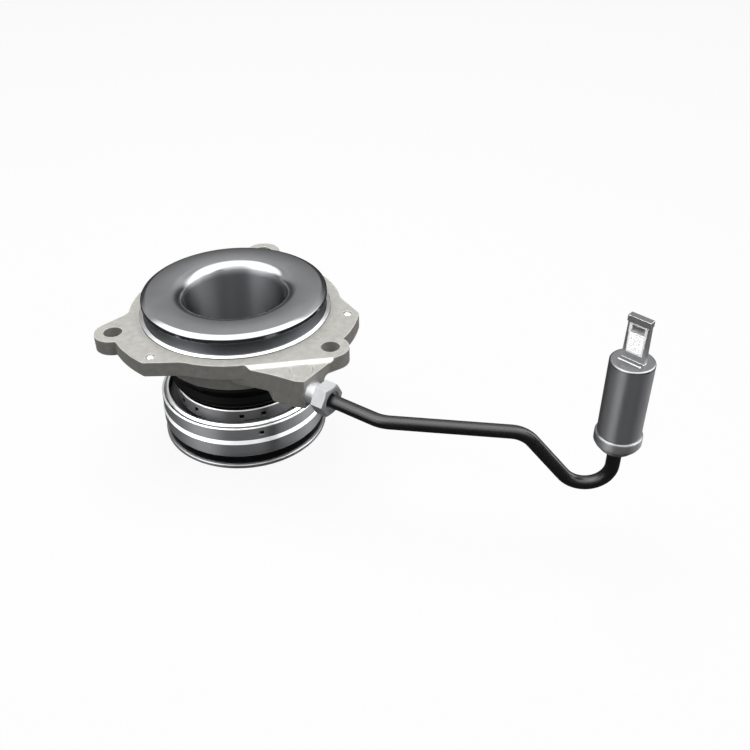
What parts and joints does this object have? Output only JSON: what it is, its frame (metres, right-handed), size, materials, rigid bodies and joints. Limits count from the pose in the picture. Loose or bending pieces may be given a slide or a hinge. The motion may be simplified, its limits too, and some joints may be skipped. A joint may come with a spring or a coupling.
{
  "type": "clutch actuator",
  "caption": "Hydraulic ring-piston clutch actuator with flange, dust boot, release bearing, bent pressure pipe and capped line connector.",
  "frame": {"origin": "middle of the bounding box, at the height of the bearing's flat thrust face", "axes": "+Z along the cylinder's axis from the thrust face to the mounting flange, +X from the cylinder to the line connector"},
  "size_m": [0.2418, 0.1433, 0.1138],
  "materials": {
    "cast_aluminium": "cast, satin",
    "plug_aluminium": "machined",
    "pin_steel": "bright",
    "sleeve_steel": "dark pressed steel, satin",
    "ring_steel": "satin",
    "piston_alloy": "machined",
    "spring_steel": "satin",
    "retainer_steel": "satin",
    "plate_steel": "bright",
    "race_steel": "ground",
    "thrust_steel": "ground",
    "ball_steel": "polished",
    "cover_steel": "satin",
    "zinc_plate": "bright zinc",
    "olive_brass": "satin",
    "pipe_coating": "black coating, satin",
    "seal_rubber": "matte",
    "boot_rubber": "satin",
    "cage_plastic": "matte",
    "connector_plastic": "satin",
    "cap_plastic": "satin",
    "grip_plastic": "matte"
  },
  "bodies": {
    "cylinder_body": {"housing": "cast_aluminium", "locating_pin_1": "pin_steel", "locating_pin_2": "pin_steel", "locating_pin_3": "pin_steel", "channel_plug": "plug_aluminium", "guide_sleeve": "sleeve_steel", "flange_o_ring": "seal_rubber", "retaining_ring": "ring_steel", "preload_spring": "spring_steel", "dust_boot": "boot_rubber", "pipe_nut": "zinc_plate", "pipe_olive": "olive_brass", "pressure_pipe": "pipe_coating", "connector_body": "connector_plastic", "stem_o_ring": "seal_rubber"},
    "release_carriage": {"piston": "piston_alloy", "piston_seal": "seal_rubber", "boot_retainer": "retainer_steel", "carrier_plate": "plate_steel", "centring_washer": "plate_steel", "upper_race": "race_steel", "bearing_cover": "cover_steel", "bearing_seal": "seal_rubber"},
    "thrust_face_ring": {"thrust_ring": "thrust_steel"},
    "ball_set": {"ball_cage": "cage_plastic", "bearing_ball_01": "ball_steel", "bearing_ball_02": "ball_steel", "bearing_ball_03": "ball_steel", "bearing_ball_04": "ball_steel", "bearing_ball_05": "ball_steel", "bearing_ball_06": "ball_steel", "bearing_ball_07": "ball_steel", "bearing_ball_08": "ball_steel", "bearing_ball_09": "ball_steel", "bearing_ball_10": "ball_steel", "bearing_ball_11": "ball_steel", "bearing_ball_12": "ball_steel", "bearing_ball_13": "ball_steel", "bearing_ball_14": "ball_steel", "bearing_ball_15": "ball_steel", "bearing_ball_16": "ball_steel", "bearing_ball_17": "ball_steel", "bearing_ball_18": "ball_steel"},
    "cap": {"connector_cap": "cap_plastic", "grip_pad": "grip_plastic"}
  },
  "joints": [
    {"name": "release_slide", "type": "slide", "parent": "cylinder_body", "child": "release_carriage", "axis": [0, 0, 1], "range_m": [0, 0.012], "stiffness_N_per_m": 1500, "springref_m": -0.02, "deforming": ["preload_spring", "dust_boot"]},
    {"name": "thrust_spin", "type": "hinge", "parent": "release_carriage", "child": "thrust_face_ring", "pos_m": [-0.06214, 0.0052, 0.003], "axis": [0, 0, 1], "continuous": true},
    {"name": "cage_spin", "type": "hinge", "parent": "release_carriage", "child": "ball_set", "pos_m": [-0.06214, 0.0052, 0.0086], "axis": [0, 0, 1], "continuous": true},
    {"name": "cap_pull", "type": "slide", "parent": "cylinder_body", "child": "cap", "axis": [0, 0, 1], "range_m": [0, 0.025]}
  ],
  "couplings": [
    {"joint": "cage_spin", "follows": "thrust_spin", "ratio": 0.5}
  ]
}
